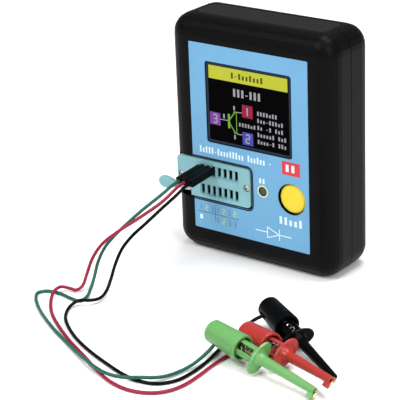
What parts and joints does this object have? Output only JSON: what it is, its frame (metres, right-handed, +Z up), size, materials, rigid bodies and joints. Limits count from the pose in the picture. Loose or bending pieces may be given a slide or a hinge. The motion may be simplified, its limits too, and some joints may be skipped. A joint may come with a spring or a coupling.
{
  "type": "component tester",
  "caption": "Slim black hand-held electronic component tester with a colour display, blue face, round start key and lever-locked test socket, with plug-in leads that end in hook clips.",
  "frame": {"origin": "centre of the case's flat bottom, on the surface it stands on, at the middle of the case's depth", "axes": "+X runs to the right along the face, the face looks along -Y, and +Z is up along the case's height"},
  "size_m": [0.1303, 0.1284, 0.09],
  "materials": {
    "black_plastic": "fine moulded texture with a soft sheen",
    "grey_plastic": "matte, finely textured",
    "blue_film": "printed satin film",
    "display_glass": "glossy, lit colour picture behind",
    "screen_metal": "pressed sheet, satin",
    "green_laminate": "solder-masked laminate",
    "steel": "plated, satin",
    "black_epoxy": "moulded, matte",
    "ferrite": "unglazed dark ceramic",
    "tinned_can": "drawn can, bright",
    "battery_pouch": "crimped foil pouch",
    "white_nylon": "moulded nylon",
    "yellow_plastic": "moulded, soft sheen",
    "infrared_filter": "dark translucent",
    "teal_plastic": "moulded, soft sheen",
    "gold_plate": "gold-plated",
    "brass": "polished",
    "green_insulation": "flexible vinyl",
    "red_insulation": "flexible vinyl",
    "black_insulation": "flexible vinyl",
    "green_clip_plastic": "moulded, glossy",
    "red_clip_plastic": "moulded, glossy",
    "black_clip_plastic": "moulded, glossy"
  },
  "bodies": {
    "case": {"front_shell": "black_plastic", "rear_shell": "black_plastic", "top_panel": "grey_plastic", "front_label": "blue_film", "display_window": "display_glass", "display_module": "screen_metal", "main_board": "green_laminate", "battery": "battery_pouch", "battery_socket": "white_nylon", "battery_lead": "red_insulation", "processor_chip": "black_epoxy", "charger_chip": "black_epoxy", "quartz_crystal": "tinned_can", "boost_inductor": "ferrite", "filter_capacitor": "tinned_can", "usb_socket": "steel", "switch_body": "black_epoxy", "ir_window": "infrared_filter", "ir_receiver": "black_epoxy", "socket_base": "teal_plastic", "case_screw_lower_left": "steel", "board_screw_lower_left": "steel", "case_screw_lower_right": "steel", "board_screw_lower_right": "steel", "case_screw_upper_left": "steel", "board_screw_upper_left": "steel", "case_screw_upper_right": "steel", "board_screw_upper_right": "steel", "plug_housing_green": "black_plastic", "plug_pin_green": "gold_plate", "wire_green": "green_insulation", "clip_cap_green": "green_clip_plastic", "clip_hook_green": "brass", "clip_spring_green": "steel", "plug_housing_red": "black_plastic", "plug_pin_red": "gold_plate", "wire_red": "red_insulation", "clip_cap_red": "red_clip_plastic", "clip_hook_red": "brass", "clip_spring_red": "steel", "plug_housing_black": "black_plastic", "plug_pin_black": "gold_plate", "wire_black": "black_insulation", "clip_cap_black": "black_clip_plastic", "clip_hook_black": "brass", "clip_spring_black": "steel"},
    "start_key": {"start_button": "yellow_plastic", "switch_plunger": "white_nylon"},
    "socket_lever": {"socket_lever": "steel", "lever_knob": "teal_plastic"},
    "socket_cover": {"socket_cover": "teal_plastic", "socket_screw_left": "steel", "socket_screw_right": "steel"},
    "barrel_green": {"clip_barrel_green": "green_clip_plastic"},
    "barrel_red": {"clip_barrel_red": "red_clip_plastic"},
    "barrel_black": {"clip_barrel_black": "black_clip_plastic"}
  },
  "joints": [
    {"name": "start_key_press", "type": "slide", "parent": "case", "child": "start_key", "axis": [0, 1, 0], "range_m": [0, 0.0004], "stiffness_N_per_m": 600, "springref_m": -0.001},
    {"name": "socket_lever_turn", "type": "hinge", "parent": "case", "child": "socket_lever", "pos_m": [-0.0282, -0.01105, 0.0229], "axis": [0, 0, 1], "range_deg": [0, 90]},
    {"name": "socket_cover_slide", "type": "slide", "parent": "case", "child": "socket_cover", "axis": [-1, 0, 0], "range_m": [0, 0.0007]},
    {"name": "barrel_slide_green", "type": "slide", "parent": "case", "child": "barrel_green", "axis": [-0.9761, 0.1856, 0.1126], "range_m": [0, 0.0045], "stiffness_N_per_m": 150, "springref_m": -0.006, "deforming": ["clip_spring_green"]},
    {"name": "barrel_slide_red", "type": "slide", "parent": "case", "child": "barrel_red", "axis": [-0.9375, 0.3458, -0.0375], "range_m": [0, 0.0045], "stiffness_N_per_m": 150, "springref_m": -0.006, "deforming": ["clip_spring_red"]},
    {"name": "barrel_slide_black", "type": "slide", "parent": "case", "child": "barrel_black", "axis": [-0.8705, 0.4788, 0.114], "range_m": [0, 0.0045], "stiffness_N_per_m": 150, "springref_m": -0.006, "deforming": ["clip_spring_black"]}
  ],
  "couplings": [
    {"joint": "socket_lever_turn", "follows": "socket_cover_slide", "rad_per_m": 2244}
  ]
}
